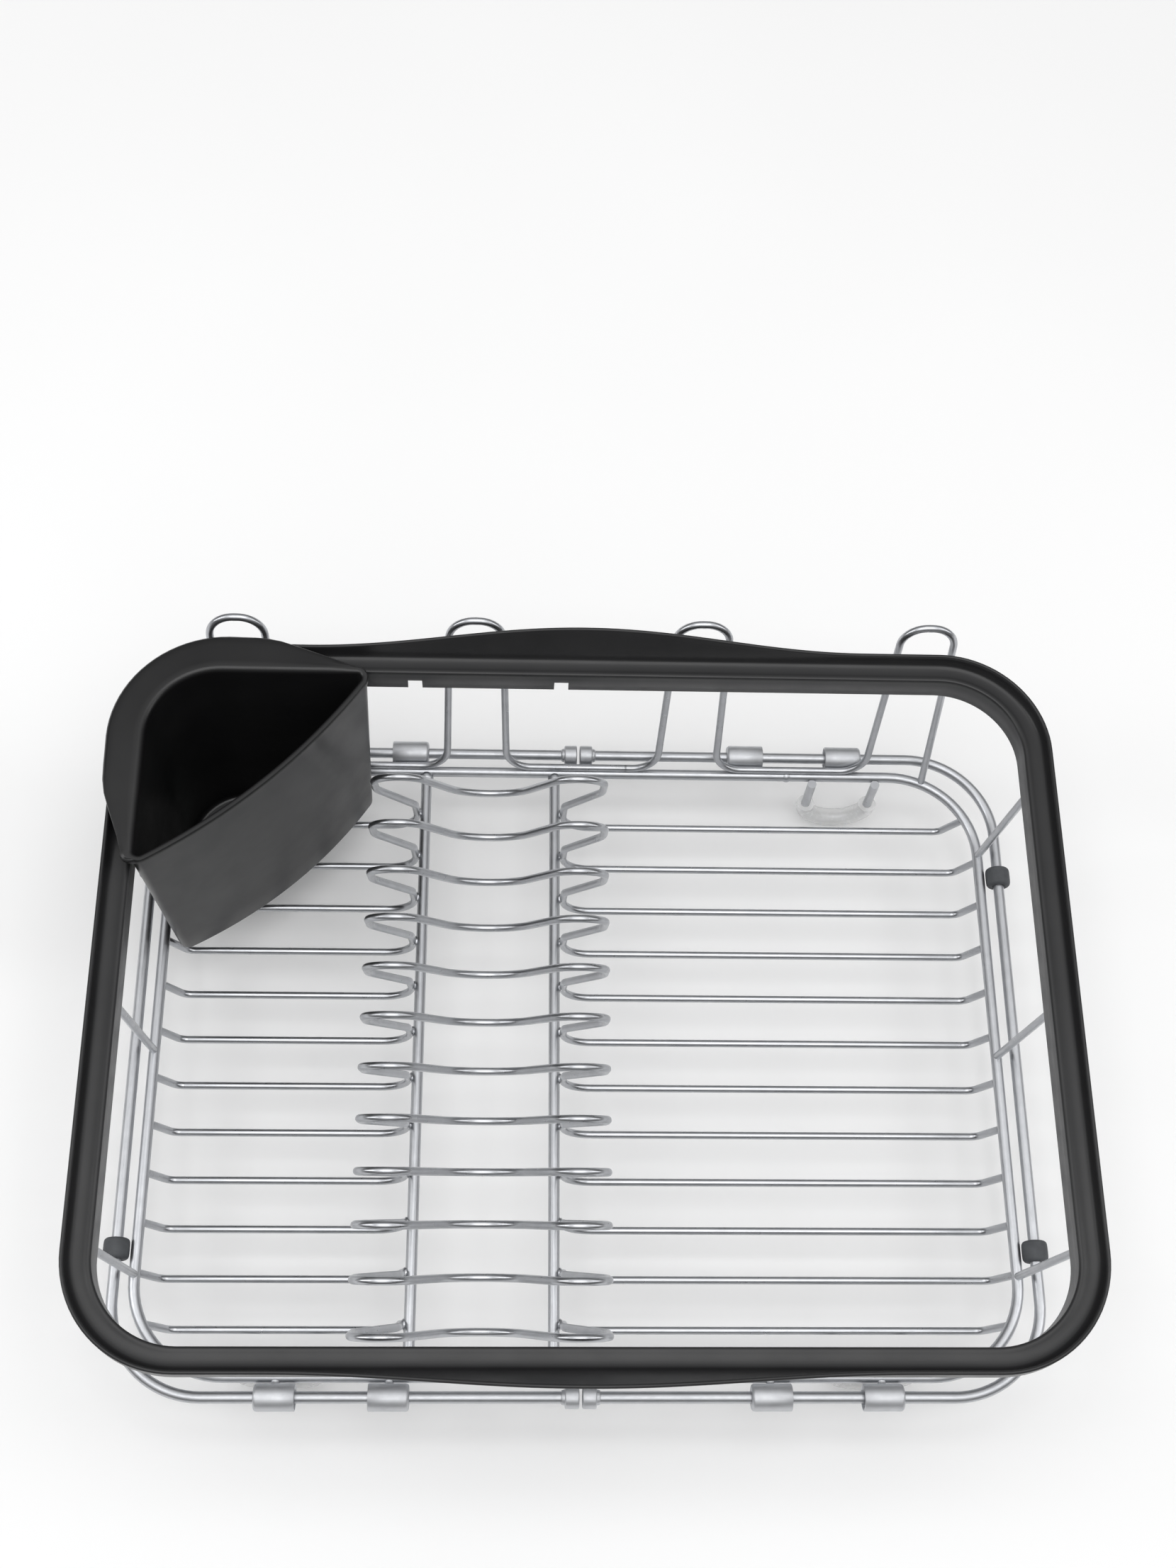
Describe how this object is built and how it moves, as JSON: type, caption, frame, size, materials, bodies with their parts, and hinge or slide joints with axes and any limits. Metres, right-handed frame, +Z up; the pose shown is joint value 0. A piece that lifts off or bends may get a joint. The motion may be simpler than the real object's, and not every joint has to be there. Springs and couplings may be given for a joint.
{
  "type": "dish drying rack",
  "caption": "Wire dish drying rack with leaning plate dividers, a plastic rim with two raised handles, a lift-out corner caddy and arms that slide out over a sink.",
  "frame": {"origin": "centre of the whole rack's footprint, on the surface that the feet stand on, with the arms closed", "axes": "+X to the rack's right, +Y to the back where the hooks are, +Z up"},
  "size_m": [0.3612, 0.288, 0.1347],
  "materials": {
    "wire": "satin silver plating on round steel wire",
    "arm": "satin silver plating on thick round steel wire",
    "clip": "satin drawn steel tube",
    "rim": "moulded charcoal plastic with a soft sheen",
    "caddy": "moulded charcoal plastic with a soft sheen",
    "grip": "dull grey rubber",
    "sleeve": "clear, slightly milky soft plastic"
  },
  "bodies": {
    "rack": {"base_ring": "wire", "support_bar_left": "wire", "support_bar_right": "wire", "cross_wire_01": "wire", "cross_wire_02": "wire", "cross_wire_03": "wire", "cross_wire_04": "wire", "cross_wire_05": "wire", "cross_wire_06": "wire", "cross_wire_07": "wire", "cross_wire_08": "wire", "cross_wire_09": "wire", "cross_wire_10": "wire", "cross_wire_11": "wire", "cross_wire_12": "wire", "hook_wire_left": "wire", "hook_wire_right": "wire", "upright_left_back": "wire", "upright_left_middle": "wire", "upright_left_front": "wire", "upright_right_back": "wire", "upright_right_middle": "wire", "upright_right_front": "wire", "rim": "rim", "clip_front_1": "clip", "clip_front_2": "clip", "clip_front_3": "clip", "clip_front_4": "clip", "clip_back_1": "clip", "clip_back_2": "clip", "clip_back_3": "clip", "clip_back_4": "clip", "foot_front_left": "wire", "foot_front_right": "wire", "foot_back_left": "wire", "foot_back_right": "wire", "sleeve_front_left": "sleeve", "sleeve_front_right": "sleeve", "sleeve_back_left": "sleeve", "sleeve_back_right": "sleeve"},
    "left_arm": {"arm_left": "arm", "collar_left_front": "clip", "collar_left_back": "clip", "grip_left_front": "grip", "grip_left_back": "grip"},
    "right_arm": {"arm_right": "arm", "collar_right_front": "clip", "collar_right_back": "clip", "grip_right_front": "grip", "grip_right_back": "grip"},
    "lift_out_caddy": {"caddy": "caddy"}
  },
  "joints": [
    {"name": "left_arm_slide", "type": "slide", "parent": "rack", "child": "left_arm", "axis": [-1, 0, 0], "range_m": [0, 0.0557]},
    {"name": "right_arm_slide", "type": "slide", "parent": "rack", "child": "right_arm", "axis": [1, 0, 0], "range_m": [0, 0.0557]},
    {"name": "caddy_lift", "type": "slide", "parent": "rack", "child": "lift_out_caddy", "axis": [0, 0, 1], "range_m": [0, 0.14]}
  ]
}
